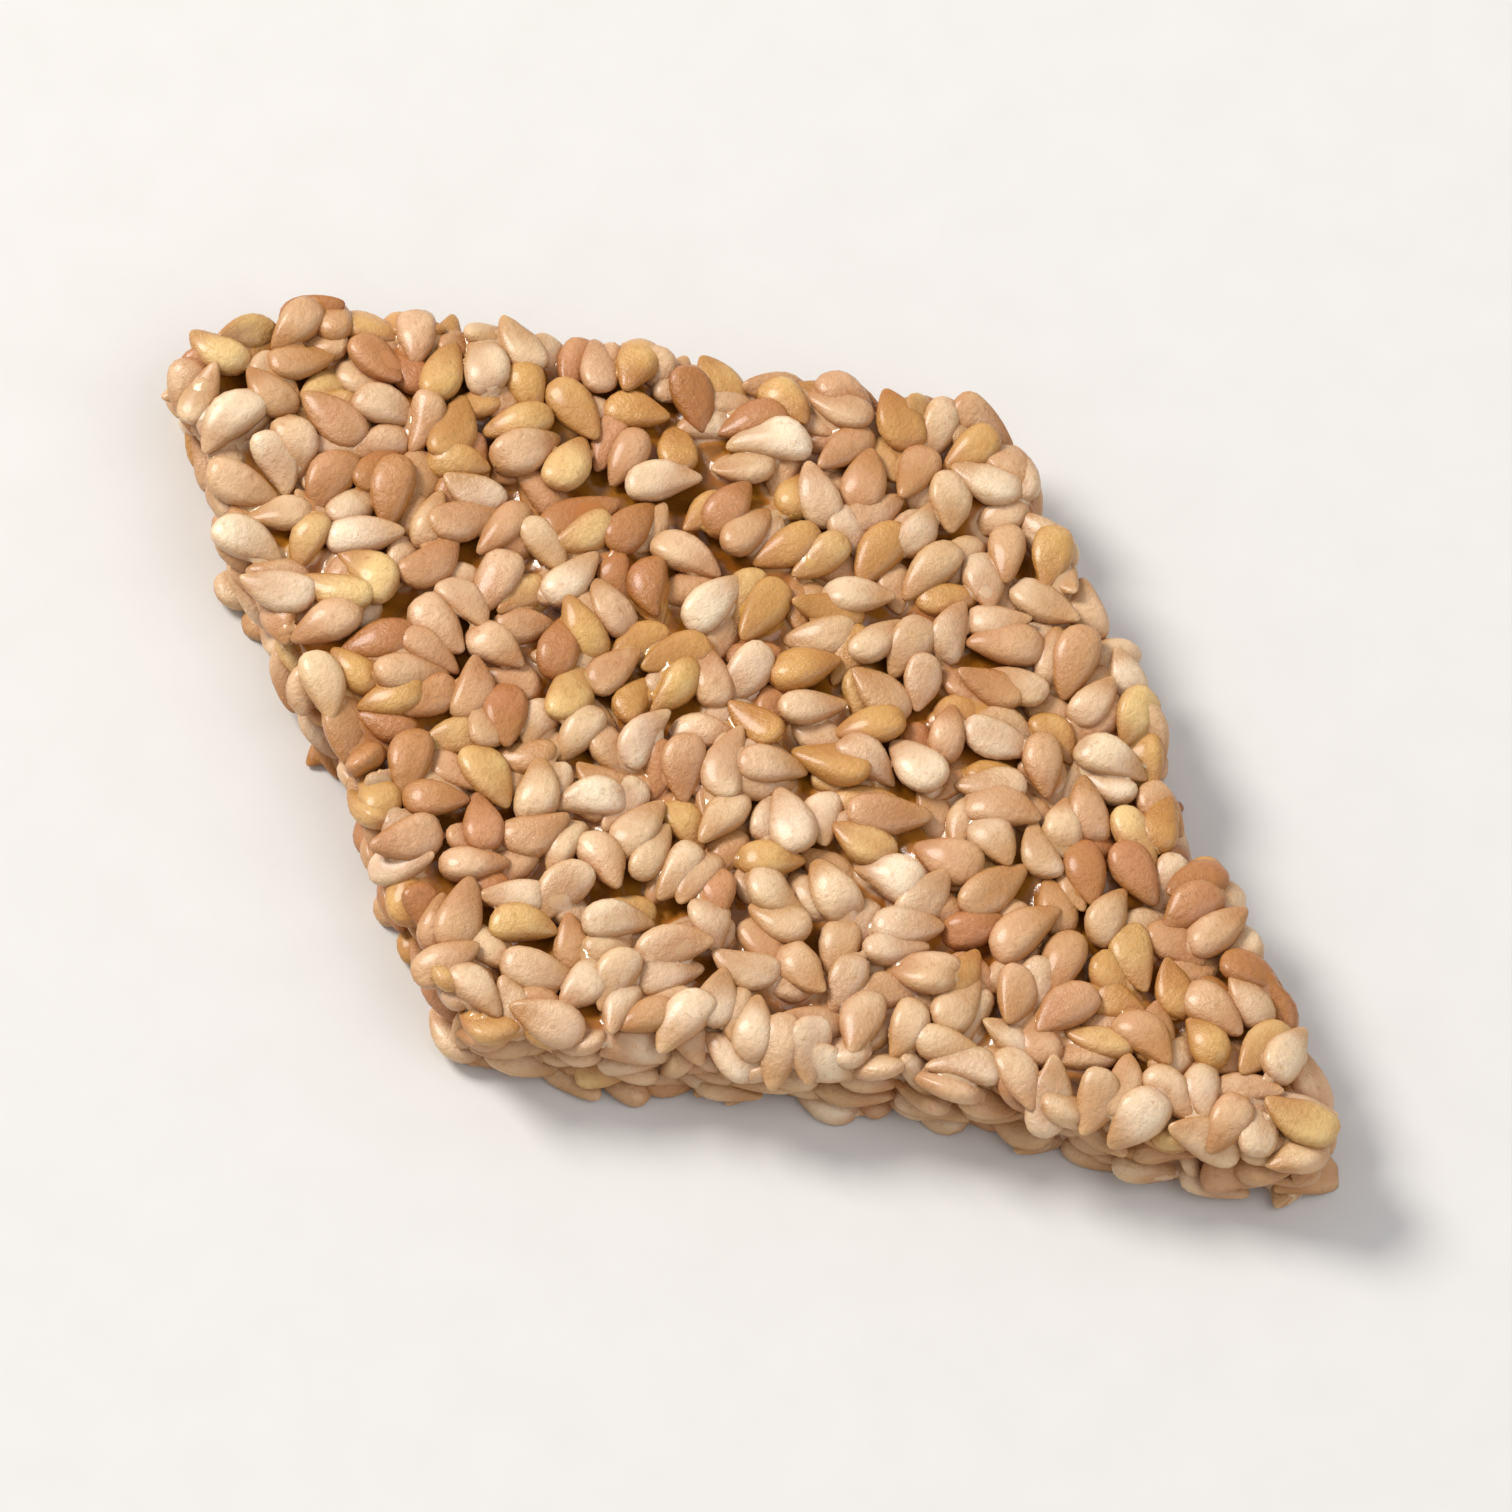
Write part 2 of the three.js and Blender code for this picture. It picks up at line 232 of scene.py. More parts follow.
def spread_out(count, draw_trial, whole=math.inf, taken=()):
    """Lays count seeds, each at whichever random trial is furthest from those laid before.
    A trial is (place, heading), or None outside the field; whole is the length of a field that closes."""
    taken = list(taken)
    laid = []
    while len(laid) < count:
        trials = [trial for trial in (draw_trial() for _ in range(TRIALS)) if trial]
        if not trials:
            continue
        spots = np.array([place for place, _ in trials])
        headings = np.array([heading for _, heading in trials])
        points = spots[:, None] + SPACING_REACH * np.exp(1j * headings)[:, None] * np.array((-1, 0, 1))
        pick = 0
        if taken:
            apart = points[:, :, None] - np.array(taken)
            across = abs(apart.real)
            across = np.minimum(across, whole - across)
            pick = np.hypot(across, apart.imag).min((1, 2)).argmax()
        taken += list(points[pick])
        laid.append(trials[pick])
    return laid


def face_trials(margin, draw):
    low = complex(OUTLINE.real.min(), OUTLINE.imag.min())
    span = complex(OUTLINE.real.max(), OUTLINE.imag.max()) - low

    def trial():
        u = low.real + span.real * draw()
        v = low.imag + span.imag * draw()
        heading = 2 * math.pi * draw()
        return None if rim_at(complex(u, v))[0] < margin else (complex(u, v), heading)

    return trial


def turn_about(axis, angle):
    """The matrix of a turn by angle radians about an axis of unit length."""
    x, y, z = axis
    skew = np.array(((0, -z, y), (z, 0, -x), (-y, x, 0)))
    return np.eye(3) + math.sin(angle) * skew + (1 - math.cos(angle)) * skew @ skew


def seed_turn(heading, pitch, roll):
    about_z = turn_about((0, 0, 1), heading)
    return about_z @ turn_about((0, 1, 0), pitch) @ turn_about((1, 0, 0), roll)


def seed_size(draw, n, count):
    return around(draw, 1 + SIZE_FALL * (0.5 - n / count), SIZE_SPREAD)


def under_sink(n, count, least_most):
    """How much deeper the seed lies that is number n of those below the first layer."""
    least, most = least_most
    return 0 if n < 0 else least + (most - least) * n / count


def top_seeds():
    """(middle, turn, size) of each seed on the rolled face. The later ones lie deeper, in the gaps."""
    trial = face_trials(TOP_MARGIN, random_stream(PLACE_START))
    draw = random_stream(POSE_START)
    seeds = []
    for n, (place, heading) in enumerate(spread_out(TOP_SEEDS + UNDER_TOP_SEEDS, trial)):
        size = seed_size(draw, min(n, TOP_SEEDS), TOP_SEEDS)
        tilt = TOP_TILT if n < TOP_SEEDS else UNDER_TOP_TILT
        pitch = math.radians(around(draw, 0, tilt))
        roll = math.radians(around(draw, 0, tilt))
        sink = TOP_SINK_LEAST + TOP_SINK_MORE * draw()
        sink += under_sink(n - TOP_SEEDS, UNDER_TOP_SEEDS, UNDER_TOP_SINK)
        inside, outward = rim_at(place)
        rim = max(0, 1 - float(inside) / RIM_WIDTH)
        lean = turn_about((-outward.imag, outward.real, 0), math.radians(RIM_LEAN) * rim)
        middle = (place.real, place.imag, CARAMEL_HEIGHT - sink - RIM_DROP * rim**2)
        seeds.append((middle, lean @ seed_turn(heading, pitch, roll), size))
    return seeds


def side_seeds():
    """Seeds in the cut sides, laid over the unrolled cut."""
    place_draw = random_stream(PLACE_START + 1)
    low, high = SIDE_BAND

    def trial():
        place = complex(ROUND * place_draw(), low + (high - low) * place_draw())
        return place, math.radians(around(place_draw, 0, SIDE_SLOPE))

    draw = random_stream(POSE_START + 1)
    ends = np.cumsum(SIDE_LENGTHS)
    seeds = []
    for n, (spot, slope) in enumerate(spread_out(SIDE_SEEDS + UNDER_SIDE_SEEDS, trial, ROUND)):
        piece = int(np.searchsorted(ends, spot.real))
        ahead = SIDES[piece] / SIDE_LENGTHS[piece]
        size = seed_size(draw, min(n, SIDE_SEEDS), SIDE_SEEDS)
        sink = around(draw, SIDE_SINK, SIDE_SINK_SPREAD)
        sink += under_sink(n - SIDE_SEEDS, UNDER_SIDE_SEEDS, UNDER_SIDE_SINK)
        swing = math.radians(around(draw, 0, SIDE_SWING if n < SIDE_SEEDS else UNDER_SIDE_SWING))
        roll = math.radians(around(draw, 0, SIDE_ROLL if n < SIDE_SEEDS else UNDER_SIDE_ROLL))
        facing = math.pi if draw() < 0.5 else 0
        along = spot.real - (ends[piece] - SIDE_LENGTHS[piece])
        middle = OUTLINE[piece] + ahead * along + 1j * ahead * sink
        turn = seed_turn(math.atan2(ahead.imag, ahead.real) + facing + swing, slope, roll)
        seeds.append(((middle.real, middle.imag, spot.imag), turn, size))
    return seeds


def pits():
    """(place, heading, radius) of the hollows in the underside."""
    trial = face_trials(PIT_MARGIN, random_stream(PLACE_START + 2))
    draw = random_stream(POSE_START + 2)
    return [
        (place, heading, around(draw, PIT_RADIUS, PIT_RADIUS * PIT_SPREAD))
        for place, heading in spread_out(PITS, trial)
    ]


def floor_seeds(hollows):
    """Seeds that were pressed flat against the board, clear of the hollows."""
    trial = face_trials(FLOOR_MARGIN, random_stream(PLACE_START + 3))
    draw = random_stream(POSE_START + 3)
    hollow_middles = [place for place, _, _ in hollows]
    seeds = []
    for n, (place, heading) in enumerate(spread_out(FLOOR_SEEDS, trial, taken=hollow_middles)):
        size = seed_size(draw, n, FLOOR_SEEDS)
        pitch = math.radians(around(draw, 0, FLOOR_TILT))
        roll = math.radians(around(draw, 0, FLOOR_TILT))
        seeds.append(((place.real, place.imag, FLOOR_HEIGHT), seed_turn(heading, pitch, roll), size))
    return seeds


LEAST_SLOPE = 1e-6  # keeps the very middle of an egg out of a division by nothing


def egg_distance(points, half):
    """Near enough the distance to an ellipsoid with those half-sizes, negative inside."""
    near = np.linalg.norm(points / half, axis=-1)
    steep = np.linalg.norm(points / half**2, axis=-1)
    return near * (near - 1) / np.maximum(steep, LEAST_SLOPE)


def spine_gap(seed, others):
    """The least distance from a seed's spine to the skins of other seeds, negative inside."""
    middle, turn, size = seed
    middles, turns, sizes = (np.array(values) for values in zip(*others))
    spine = np.array(middle) + np.outer(SPINE, turn[:, 0]) * size
    local = np.einsum("pnk,nkj->pnj", spine[:, None] - middles, turns)
    return egg_distance(local, SEED_SIZE * sizes[:, None] / 2).min()


def within_sheet(seed):
    """Whether a seed's ends keep between the board and the roller."""
    (_, _, height), turn, size = seed
    reach = SEED_SIZE[0] / 2 * size * abs(turn[2, 0])
    return reach < min(height, CARAMEL_HEIGHT - height) + STRAY


def settled(first, fillers, crossing, ways=1):
    """The first seeds, and those fillers whose spines keep out of all the seeds that lie there before them.
    Their flanks may still cross. A filler that finds no room as it lies is turned about its width, one way
    after the other."""
    seeds = list(first)
    for middle, turn, size in fillers:
        for way in range(ways):
            seed = (middle, turn @ turn_about((0, 1, 0), math.pi * way / ways), size)
            if (way == 0 or within_sheet(seed)) and spine_gap(seed, seeds) > -crossing:
                seeds.append(seed)
                break
    return seeds


# ---------------------------------------------------------------- from the solid's raw frame to the row's


def coarse_seed_points(seed):
    """The corners of the solid's plain four-sided seed."""
    middle, turn, size = seed
    local = np.array([(along, r * y, r * z) for r, along in COARSE_PROFILE for y, z in COARSE_SPOKES])
    return local * SEED_SIZE * size @ turn.T + middle


def frame_shift(solid_seeds):
    """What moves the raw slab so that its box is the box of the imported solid."""
    points = np.concatenate([coarse_seed_points(seed) for seed in solid_seeds])
    edge = np.stack((OUTLINE.real, OUTLINE.imag, 0 * OUTLINE.real), 1)
    points = np.concatenate((points, edge))
    raw_middle = (points.min(0) + points.max(0)) / 2
    cad_middle = np.array((CAD_LOW + CAD_HIGH) / 2) / MM
    return np.array((*(cad_middle - raw_middle)[:2], 0.0))


# ---------------------------------------------------------------- one seed's mesh

SEED_ROUND = 18  # faces round a seed
SEED_RINGS = 10  # rings from its round end to its point
SEED_WIDEST = 0.32  # where along the seed its taper to the point begins
SEED_TAPER = 0.85  # the higher, the narrower the pointed half
SEED_TAPER_BEND = 1.25  # the higher, the later the taper is felt
SEED_FULLNESS = 0.47  # the lower, the blunter both ends
SEED_GIRTH = 1.055  # makes the widest place as wide as the seed's size says
SEED_FLATNESS = 0.7  # the lower, the flatter its two faces


def seed_profile(along):
    """Half-width as a share, at a place along the seed from 0, the round end, to 1, the point."""
    egg = (4 * along * np.clip(1 - along, 0, 1)) ** SEED_FULLNESS
    past = along - SEED_WIDEST
    return SEED_GIRTH * egg * (1 - SEED_TAPER * np.sign(past) * abs(past) ** SEED_TAPER_BEND)


def seed_template():
    """Unit vertices with the point at +X, faces, and for each face corner its place in a unit square."""
    rings = (1 - np.cos(np.pi * np.arange(1, SEED_RINGS + 1) / (SEED_RINGS + 1))) / 2
    turns = 2 * np.pi * np.arange(SEED_ROUND) / SEED_ROUND
    radius = seed_profile(rings) / 2
    across = np.cos(turns)
    up = np.sign(np.sin(turns)) * abs(np.sin(turns)) ** SEED_FLATNESS
    ring_points = np.stack(
        np.broadcast_arrays(rings[:, None] - 0.5, radius[:, None] * across, radius[:, None] * up), -1
    ).reshape(-1, 3)
    points = np.concatenate((((-0.5, 0, 0),), ring_points, ((0.5, 0, 0),)))
    last = len(points) - 1
    faces, places = [], []
    for k in range(SEED_ROUND):
        now, after = k / SEED_ROUND, (k + 1) / SEED_ROUND
        near = [1 + ring * SEED_ROUND + k for ring in range(SEED_RINGS)]
        far = [1 + ring * SEED_ROUND + (k + 1) % SEED_ROUND for ring in range(SEED_RINGS)]
        heights = [(ring + 1) / (SEED_RINGS + 1) for ring in range(SEED_RINGS)]
        faces.append((0, far[0], near[0]))
        places += [((now + after) / 2, 0), (after, heights[0]), (now, heights[0])]
        for ring in range(SEED_RINGS - 1):
            low, high = heights[ring], heights[ring + 1]
            faces.append((near[ring], far[ring], far[ring + 1], near[ring + 1]))
            places += [(now, low), (after, low), (after, high), (now, high)]
        faces.append((near[-1], far[-1], last))
        places += [(now, heights[-1]), (after, heights[-1]), ((now + after) / 2, 1)]
    return points, faces, np.array(places)


TEMPLATE, TEMPLATE_FACES, TEMPLATE_PLACES = seed_template()
LEAST_GIRTH = 0.05  # keeps the two tips out of a division by nothing
# How near each vertex is to the thin edge: 0 along the middle of a flat face, 1 on the edge.
TEMPLATE_EDGE = 2 * abs(TEMPLATE[:, 1]) / np.maximum(seed_profile(TEMPLATE[:, 0] + 0.5), LEAST_GIRTH)
SHAPE_SPREAD = np.array((0.07, 0.08, 0.13))  # how much seeds differ in length, width and thickness
BEND = 0.1  # of the width, sideways, over half the length
BEND_UP = 0.6  # the bend upwards, as a share of that
BEND_REST = 0.3  # what is taken off the bend all along, so that the seed stays where it lies
WRINKLE = 0.035  # mm, the shallow ripples of a roasted skin
WRINKLE_WAVES = 4
WRINKLE_PACE = np.array((1.6, 2.6, 3.0))  # radians per mm along, across and through a seed
WRINKLE_AIM = (0.4, 1, 1)  # the ripples move the flanks more than the ends
BOARD_EASE = 0.06  # mm, how softly the board flattened a seed, so that no two flats coincide


def seed_points(seed, draw):
    """The vertices of one seed with its own proportions, bend and ripples."""
    middle, turn, size = seed
    points = TEMPLATE * SEED_SIZE * size * (1 + SHAPE_SPREAD * draw.uniform(-1, 1, 3))
    reach = (2 * TEMPLATE[:, 0]) ** 2
    width = SEED_SIZE[1] * size
    points[:, 1] += BEND * draw.normal() * width * (reach - BEND_REST)
    points[:, 2] += BEND * BEND_UP * draw.normal() * width * (reach - BEND_REST)
    waves = draw.normal(size=(WRINKLE_WAVES, 3)) * WRINKLE_PACE
    ripple = np.sin(points @ waves.T + draw.uniform(0, 2 * np.pi, WRINKLE_WAVES)).sum(1)
    outward = TEMPLATE * WRINKLE_AIM
    outward /= np.linalg.norm(outward, axis=1, keepdims=True)
    points += outward * (WRINKLE * ripple)[:, None] / math.sqrt(WRINKLE_WAVES)
    points = points @ turn.T + middle
    height = points[:, 2]
    points[:, 2] = (height + np.hypot(height, BOARD_EASE)) / 2
    return points


# ---------------------------------------------------------------- the caramel's volume

VOXEL = 0.22
SKIN_EASE = 0.05  # how readily flat stretches of the skin are drawn with larger faces
SKIN_DIGITS = 3  # decimals of a millimetre: points of the skin that agree so far are one point
SEEDS_ABOVE = 1.0  # more than any seed stands above the caramel
VOLUME_MARGIN = 1.2
FAR = 1.5  # mm, the value far from everything
FARTHEST = 3.0  # mm; what is farther away counts as this far
BLEND = 11.0  # per mm: the higher, the tighter the caramel hugs what it joins
SEED_FIELD = 0.6  # how far past its ends a seed still marks the grid
SEED_INSET = 0.16  # how far the caramel's own blob lies inside each seed
HEAVY_END = 0.05  # of the seed's length, how far that blob lies towards the round end
CORE_INSET = 0.76  # how far the caramel's wall and top lie inside the solid's, between the seeds
CORE_UNEVEN = 0.24  # how far its top rises and falls
CORE_WAVES = ((1.1, 1.7, 0.6), (1.4, 1.3, 0.5))  # pace, bend and pace of the bend, along x and along y
CORE_FOOT = 0.1  # height at which the core ends above the board
SKIN_FOOT = 0.03  # height of the caramel's flat underside
PIT_WIDENING = 1.15  # the caramel's hollows are this much wider and deeper than the solid's
PIT_DEEPENING = 1.25
PIT_SLOPE = 0.8  # turns the height under a hollow's roof into a distance, near enough
PIT_FIELD = 2.4  # how far from its middle, and up to what height, a hollow marks the grid
PIT_FIELD_TOP = 1.2


def bent_wave(along, across, wave):
    """A wave along one way that a slower one across it bends. Paces are radians per mm."""
    pace, bend, bend_pace = wave
    return np.sin(along * pace + bend * np.sin(across * bend_pace))


class Volume:
    """Distances to the caramel's surface on a grid, negative inside."""

    def __init__(self):
        low = np.array((OUTLINE.real.min(), OUTLINE.imag.min(), 0.0)) - VOLUME_MARGIN
        top = CARAMEL_HEIGHT + SEEDS_ABOVE
        high = np.array((OUTLINE.real.max(), OUTLINE.imag.max(), top)) + VOLUME_MARGIN
        self.low = low
        self.shape = tuple(np.ceil((high - low) / VOXEL).astype(int))
        self.axes = [low[k] + VOXEL * np.arange(self.shape[k]) for k in range(3)]
        self.blobs = np.zeros(self.shape)
        self.seed_gap = np.full(self.shape, FAR)
        self.nearest = np.zeros(self.shape, int)

    def add_core(self):
        x, y, z = self.axes
        inside = rim_at(x[:, None] + 1j * y[None, :])[0]
        x_wave, y_wave = CORE_WAVES
        uneven = CORE_UNEVEN * (
            bent_wave(x[:, None], y[None, :], x_wave) * bent_wave(y[None, :], x[:, None], y_wave)
        )
        wall = (CORE_INSET - inside)[:, :, None]
        top = z[None, None, :] - (CARAMEL_HEIGHT - CORE_INSET + uneven)[:, :, None]
        foot = CORE_FOOT - z[None, None, :]
        self.add(np.s_[:, :, :], np.maximum(np.maximum(wall, top), foot))

    def add(self, block, distance):
        self.blobs[block] += np.exp(-BLEND * np.minimum(distance, FARTHEST))

    def add_seed(self, number, seed):
        middle, turn, size = seed
        half = SEED_SIZE * size / 2
        reach = SEED_SIZE[0] / 2 + SEED_FIELD
        start = [max(0, int((middle[k] - reach - self.low[k]) / VOXEL)) for k in range(3)]
        stop = [min(self.shape[k], int((middle[k] + reach - self.low[k]) / VOXEL) + 2) for k in range(3)]
        block = tuple(slice(a, b) for a, b in zip(start, stop))
        grid = np.stack(np.meshgrid(*(axis[b] for axis, b in zip(self.axes, block)), indexing="ij"), -1)
        local = (grid - middle) @ turn
        gap = egg_distance(local, half)
        self.nearest[block] = np.where(gap < self.seed_gap[block], number, self.nearest[block])
        self.seed_gap[block] = np.minimum(gap, self.seed_gap[block])
        local[..., 0] += HEAVY_END * SEED_SIZE[0]
        self.add(block, egg_distance(local, half - SEED_INSET))

    def settle(self, hollows):
        """Turns the summed blobs to distances, cuts the flat foot and sinks the hollows in it."""
        self.distance = -np.log(np.maximum(self.blobs, math.exp(-BLEND * FAR))) / BLEND
        x, y, z = self.axes
        foot = (SKIN_FOOT - z)[None, None, :]
        self.distance = np.maximum(self.distance, foot)
        for place, heading, radius in hollows:
            columns = [
                slice(int((c - PIT_FIELD - low) / VOXEL), int((c + PIT_FIELD - low) / VOXEL))
                for c, low in ((place.real, self.low[0]), (place.imag, self.low[1]))
            ]
            flat = (x[columns[0]][:, None] + 1j * y[columns[1]][None, :] - place) * np.exp(-1j * heading)
            around_pit = np.hypot(flat.real, flat.imag / PIT_FLATTENING) / (PIT_WIDENING * radius)
            roof = PIT_DEEPENING * PIT_DEPTH * (1 - around_pit**2)
            hollow = (roof[:, :, None] - z[None, None, :]) * PIT_SLOPE
            levels = slice(0, int((PIT_FIELD_TOP - self.low[2]) / VOXEL))
            block = (columns[0], columns[1], levels)
            self.distance[block] = np.maximum(self.distance[block], hollow[:, :, levels])

    def fill_bubbles(self):
        """Fills every bubble that the air outside doesn't reach."""
        air = self.distance > 0
        reached = np.zeros(self.shape, bool)
        reached[:, :, -1] = True
        count = 0
        while count < reached.sum():
            count = reached.sum()
            for axis in range(3):
                reached |= air & (np.roll(reached, 1, axis) | np.roll(reached, -1, axis))
        self.distance[air & ~reached] = -VOXEL

    def at(self, values, points):
        """The grid's values at any points, by linear interpolation."""
        place = (points - self.low) / VOXEL
        base = np.clip(place.astype(int), 0, np.array(self.shape) - 2)
        share = np.clip(place - base, 0, 1)
        total = 0
        for corner in np.ndindex(2, 2, 2):
            weight = np.prod(np.where(corner, share, 1 - share), axis=-1)
            total = total + weight * values[tuple((base + corner).T)]
        return total

    def seed_below(self, points):
        """The number of the seed nearest to each point."""
        place = np.rint((points - self.low) / VOXEL).astype(int)
        return self.nearest[tuple(np.clip(place, 0, np.array(self.shape) - 1).T)]

    def skin(self):
        """The surface as points and triangles. Points that agree are made one, and a triangle that shrinks
        to a line by that is left out."""
        grid = openvdb.FloatGrid()
        grid.background = FAR
        grid.copyFromArray(self.distance.astype(np.float32))
        points, triangles, quads = grid.convertToPolygons(isovalue=0.0, adaptivity=SKIN_EASE)
        faces = np.concatenate((triangles, quads[:, :3], quads[:, (0, 2, 3)]))
        points = (points * VOXEL + self.low).round(SKIN_DIGITS)
        points, number = np.unique(points, axis=0, return_inverse=True)
        faces = number.reshape(-1)[faces]
        return points, faces[(faces != np.roll(faces, 1, axis=1)).all(1)]


# ---------------------------------------------------------------- meshes


SYRUP_REACH = 0.3  # how far from the caramel's skin a seed is still wetted by it
FILM_REACH = 0.35  # how deep the caramel lies over a seed where that seed no longer shows through
CELL_MARGIN = 0.06  # of its cell of the map, left bare at each side of a seed


def mesh_piece(name, points, faces, corner_places, shift, attributes):
    """A smooth mesh object in metres, with its own map and named values or colours at its points."""
    mesh = bpy.data.meshes.new(name)
    mesh.from_pydata(((points + shift) * MM).tolist(), [], faces)
    mesh.update()
    layer = mesh.uv_layers.new(name="OFBake")
    layer.uv.foreach_set("vector", np.asarray(corner_places, np.float32).ravel())
    for key, values in attributes.items():
        kind, field = ("FLOAT", "value") if values.ndim == 1 else ("FLOAT_COLOR", "color")
        held = mesh.attributes.new(key, kind, "POINT")
        held.data.foreach_set(field, values.astype(np.float32).ravel())
    mesh.shade_smooth()
    piece = bpy.data.objects.new(name, mesh)
    bpy.context.scene.collection.objects.link(piece)
    return piece


def seed_piece(name, seeds, tones, volume, shift, draw):
    """All the seeds of one roast as one mesh. Each seed has its own cell of the map."""
    cells = math.ceil(math.sqrt(len(seeds)))
    per_seed = len(TEMPLATE)
    points, faces, places = [], [], []
    for n, seed in enumerate(seeds):
        points.append(seed_points(seed, draw))
        faces += [tuple(v + n * per_seed for v in face) for face in TEMPLATE_FACES]
        cell = np.array((n % cells, n // cells))
        places.append((cell + CELL_MARGIN + (1 - 2 * CELL_MARGIN) * TEMPLATE_PLACES) / cells)
    points = np.concatenate(points)
    values = {
        "tone": np.repeat(tones, per_seed),  # how deep the roast of its skin is
        "toe": np.tile(TEMPLATE[:, 0] + 0.5, len(seeds)),  # 0 at the round end, 1 at the point
        "edge": np.tile(TEMPLATE_EDGE, len(seeds)),
        "glaze": np.repeat(draw.uniform(size=len(seeds)), per_seed),  # how dull its film of syrup is
        # 1 where the caramel touches it
        "syrup": np.clip(1 - volume.at(volume.distance, points) / SYRUP_REACH, 0, 1),
    }
    return mesh_piece(name, points, faces, np.concatenate(places), shift, values)


# The caramel's map, in shares of its side: margin, height of the flat parts and of the sides, and where
# the underside and the top begin.
MAP_MARGIN = 0.01
MAP_SPAN = 1 - 2 * MAP_MARGIN
FLAT_TALL = 0.38
SIDE_TALL = 0.19
UNDER_START = 0.22
TOP_START = 0.61
FLAT_RATIO = 0.63  # a little more than the slab's width as a share of its length
TURN_ROOM = 1.02  # turns round the slab for which the sides' part has room
FACING = 0.35  # how far up or down a face's normal points if the face is in a flat part
LEAST_AREA = 1e-12  # keeps a face without area out of a division by nothing


def caramel_places(points, faces):
    """The caramel's map: its top and underside as seen from above and below, its sides unrolled."""
    corners = points[faces]
    normal = np.cross(corners[:, 1] - corners[:, 0], corners[:, 2] - corners[:, 0])
    normal /= np.maximum(np.linalg.norm(normal, axis=1, keepdims=True), LEAST_AREA)
    low, high = points.min(0), points.max(0)
    flat = (corners[:, :, :2] - low[:2]) / (high - low)[0]
    flat = flat * (FLAT_TALL / FLAT_RATIO) * MAP_SPAN
    turn = np.arctan2(corners[:, :, 1], corners[:, :, 0]) / (2 * np.pi) + 0.5
    turn += (turn.max(1) - turn.min(1) > 0.5)[:, None] & (turn < 0.5)
    wall = np.stack((turn / TURN_ROOM, (corners[:, :, 2] - low[2]) / (high - low)[2]), -1)
    top = flat + (MAP_MARGIN, TOP_START)
    under = flat + (MAP_MARGIN, UNDER_START)
    side = wall * (MAP_SPAN, SIDE_TALL) + MAP_MARGIN
    facing_up = (normal[:, 2] > FACING)[:, None, None]
    facing_down = (normal[:, 2] < -FACING)[:, None, None]
    return np.where(facing_up, top, np.where(facing_down, under, side)).reshape(-1, 2)


# ---------------------------------------------------------------- materials


def colour(code):
    """Linear red, green, blue and full alpha of an sRGB hex code."""
    channels = [int(code[k : k + 2], 16) / 255 for k in (1, 3, 5)]
    return (*(c / 12.92 if c <= 0.04045 else ((c + 0.055) / 1.055) ** 2.4 for c in channels), 1.0)


def add_node(tree, kind, sockets=None, **settings):
    """Adds a node. sockets gives an input's value, or the output that feeds it, by name or number."""
    node = tree.nodes.new("ShaderNode" + kind)
    for name, value in settings.items():
        setattr(node, name, value)
    for name, value in (sockets or {}).items():
        if isinstance(value, bpy.types.NodeSocket):
            tree.links.new(value, node.inputs[name])
        else:
            node.inputs[name].default_value = value
    return node


def new_material(name, finish):
    """A material, its nodes and its surface. finish gives the values that are the same all over it."""
    material = bpy.data.materials.new(name)
    material.use_nodes = True
    tree = material.node_tree
    tree.nodes.clear()
    surface = add_node(tree, "BsdfPrincipled", finish)
    add_node(tree, "OutputMaterial", {"Surface": surface.outputs["BSDF"]})
    return material, tree, surface


def per_metre(size_mm):
    """The scale of a pattern whose features are that many millimetres across."""
    return 1 / (size_mm * MM)


def colour_mix(tree, share, first, second):
    """The first colour going over to the second as share goes from 0 to 1. Either may be a hex code."""
    sides = [colour(side) if isinstance(side, str) else side for side in (first, second)]
    return add_node(tree, "Mix", {"Factor": share, 6: sides[0], 7: sides[1]}, data_type="RGBA").outputs[2]


def spread(tree, value, low, high, least=0.0, most=1.0):
    """Stretches the values from low to high over least to most, with soft ends."""
    sockets = {"Value": value, "From Min": low, "From Max": high, "To Min": least, "To Max": most}
    return add_node(tree, "MapRange", sockets, interpolation_type="SMOOTHSTEP").outputs["Result"]


def noise(tree, place, pattern):
    """Soft patches. pattern is their size in mm, how many finer octaves they have, how strong those are."""
    size_mm, detail, roughness = pattern
    sockets = {"Vector": place, "Scale": per_metre(size_mm), "Detail": detail, "Roughness": roughness}
    return add_node(tree, "TexNoise", sockets).outputs["Fac"]


def attribute(tree, name):
    return add_node(tree, "Attribute", attribute_name=name).outputs["Fac"]


# A band gives the values of a pattern or an attribute between which a look goes from least to most.
DRENCH = (7.0, 3.0, 0.6)  # patches of seeds that the pan left wetter
DRENCH_BAND = (0.45, 0.7)
WARMTH = (3.5, 2.0, 0.5)  # patches of seeds that lean to one hue
WARMTH_BAND = (0.36, 0.64)
EVEN_HUE = 0.5  # the node's value that leaves a hue as it is
LEAN_TO_ROSE = 0.0025  # of the whole circle of hues
LEAN_TO_STRAW = 0.004  # the same, the other way


def drench(tree, place, least, most):
    """How much syrup the pan left over the seeds: more in some patches of a few millimetres."""
    return spread(tree, noise(tree, place, DRENCH), *DRENCH_BAND, least, most)


def uneven_warmth(tree, place, base):
    """Lets a colour lean a little to rose or to straw, in patches of a few seeds."""
    hues = (EVEN_HUE - LEAN_TO_ROSE, EVEN_HUE + LEAN_TO_STRAW)
    lean = spread(tree, noise(tree, place, WARMTH), *WARMTH_BAND, *hues)
    return add_node(tree, "HueSaturation", {"Hue": lean, "Color": base}).outputs["Color"]


